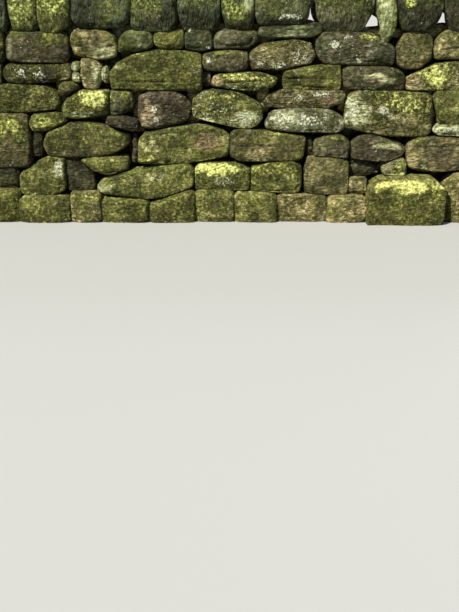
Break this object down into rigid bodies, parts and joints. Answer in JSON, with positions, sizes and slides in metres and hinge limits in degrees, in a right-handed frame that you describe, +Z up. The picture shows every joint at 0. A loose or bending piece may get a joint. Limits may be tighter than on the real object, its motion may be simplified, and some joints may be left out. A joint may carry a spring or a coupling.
{
  "type": "dry stone field wall",
  "caption": "Free-standing dry stone wall: two battered faces of rough gritstone over a rubble core, tied by through stones, with an upright cope and square heads.",
  "frame": {"origin": "middle of the wall's base, at ground level", "axes": "+X along the wall, to the right as its front is seen; +Y across it, from the front to the back; +Z up"},
  "size_m": [3.6, 0.8362, 1.2692],
  "materials": {
    "facing_stones": "rough split gritstone with moss and lichen",
    "through_stones": "rough split gritstone with moss and lichen",
    "footing_stones": "rough gritstone, damp and mossy",
    "cope_stones": "weathered gritstone with moss on top",
    "head_stones": "roughly squared gritstone",
    "hearting": "broken stone, dark and dry"
  },
  "bodies": {
    "root": {"hearting": "hearting", "through_stone_1": "through_stones", "through_stone_2": "through_stones", "through_stone_3": "through_stones", "through_stone_4": "through_stones", "front_footing": "footing_stones", "front_course_1": "facing_stones", "front_course_2": "facing_stones", "front_course_3": "facing_stones", "front_course_4": "facing_stones", "front_course_5": "facing_stones", "front_course_6": "facing_stones", "front_course_7": "facing_stones", "back_footing": "footing_stones", "back_course_1": "facing_stones", "back_course_2": "facing_stones", "back_course_3": "facing_stones", "back_course_4": "facing_stones", "back_course_5": "facing_stones", "back_course_6": "facing_stones", "back_course_7": "facing_stones", "left_wall_head": "head_stones", "right_wall_head": "head_stones", "cope_stone_01": "cope_stones", "cope_stone_02": "cope_stones", "cope_stone_03": "cope_stones", "cope_stone_04": "cope_stones", "cope_stone_05": "cope_stones", "cope_stone_06": "cope_stones", "cope_stone_07": "cope_stones", "cope_stone_08": "cope_stones", "cope_stone_09": "cope_stones", "cope_stone_10": "cope_stones", "cope_stone_11": "cope_stones", "cope_stone_12": "cope_stones", "cope_stone_13": "cope_stones", "cope_stone_14": "cope_stones", "cope_stone_15": "cope_stones", "cope_stone_16": "cope_stones"}
  },
  "joints": []
}
